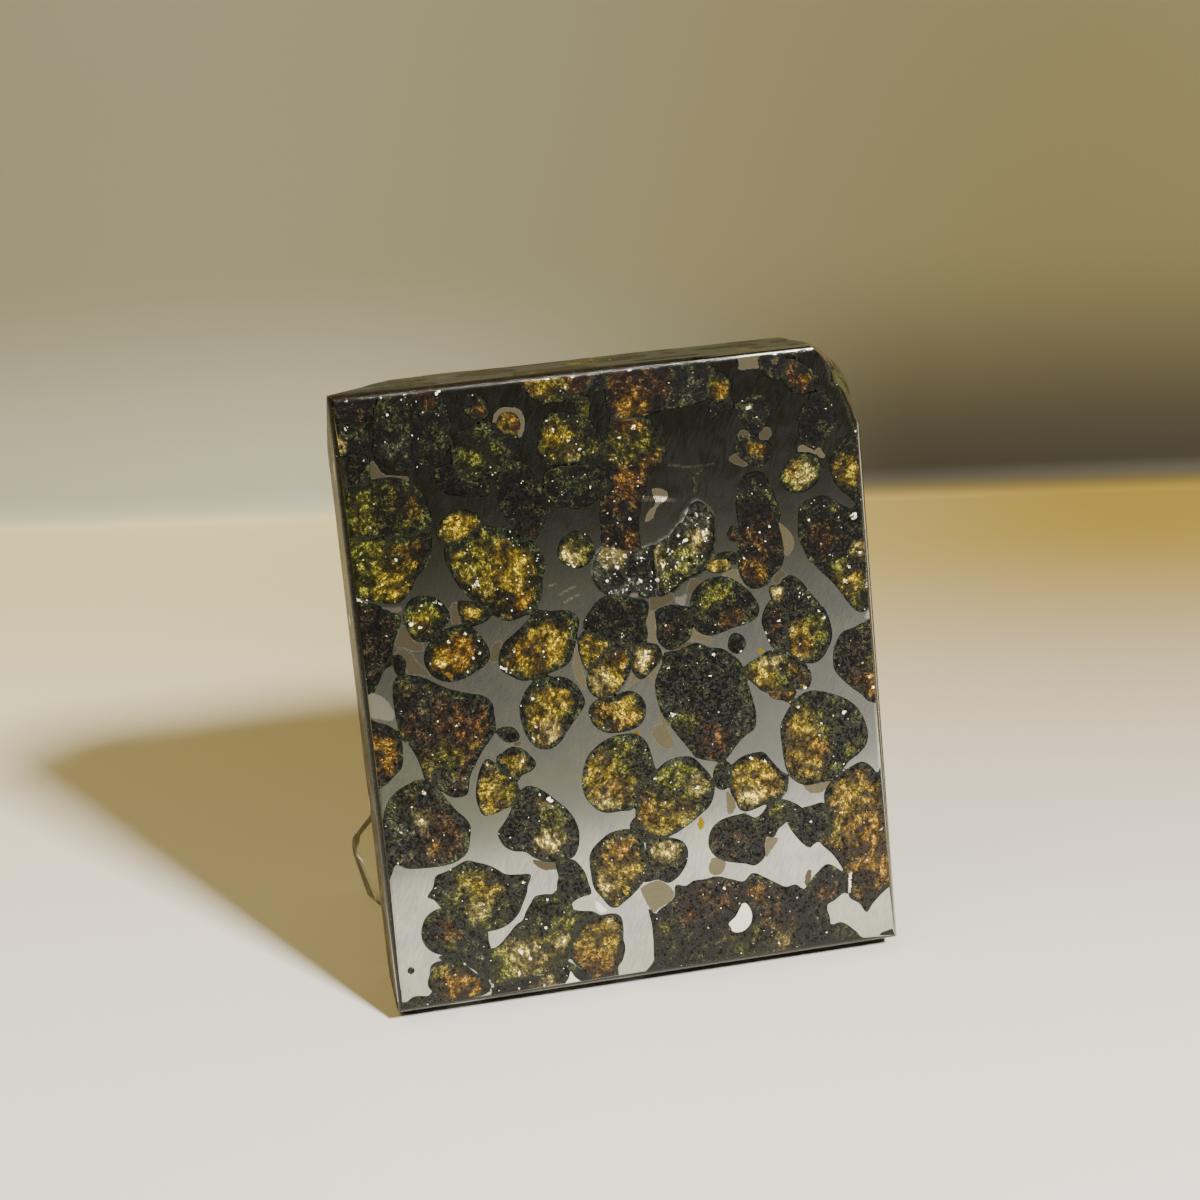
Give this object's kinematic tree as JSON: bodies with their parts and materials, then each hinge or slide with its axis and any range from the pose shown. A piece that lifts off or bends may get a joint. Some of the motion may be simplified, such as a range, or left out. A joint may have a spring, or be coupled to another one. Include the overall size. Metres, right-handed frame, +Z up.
{
  "type": "pallasite meteorite end cut on a clear prop",
  "caption": "Leaning end cut of a stony-iron meteorite with a flat polished face, sawn sides and a natural back, held from behind by a small clear prop.",
  "frame": {"origin": "middle of the flat spot that the stone rests on", "axes": "+Z up, +X to the right of the polished face as seen from the front, +Y away from the polished face towards the natural back"},
  "size_m": [0.0534, 0.035, 0.061],
  "materials": {
    "pallasite": "polished face, rough natural back",
    "clear_acrylic": "clear, glossy"
  },
  "bodies": {
    "root": {"end_cut": "pallasite", "prop": "clear_acrylic"}
  },
  "joints": []
}
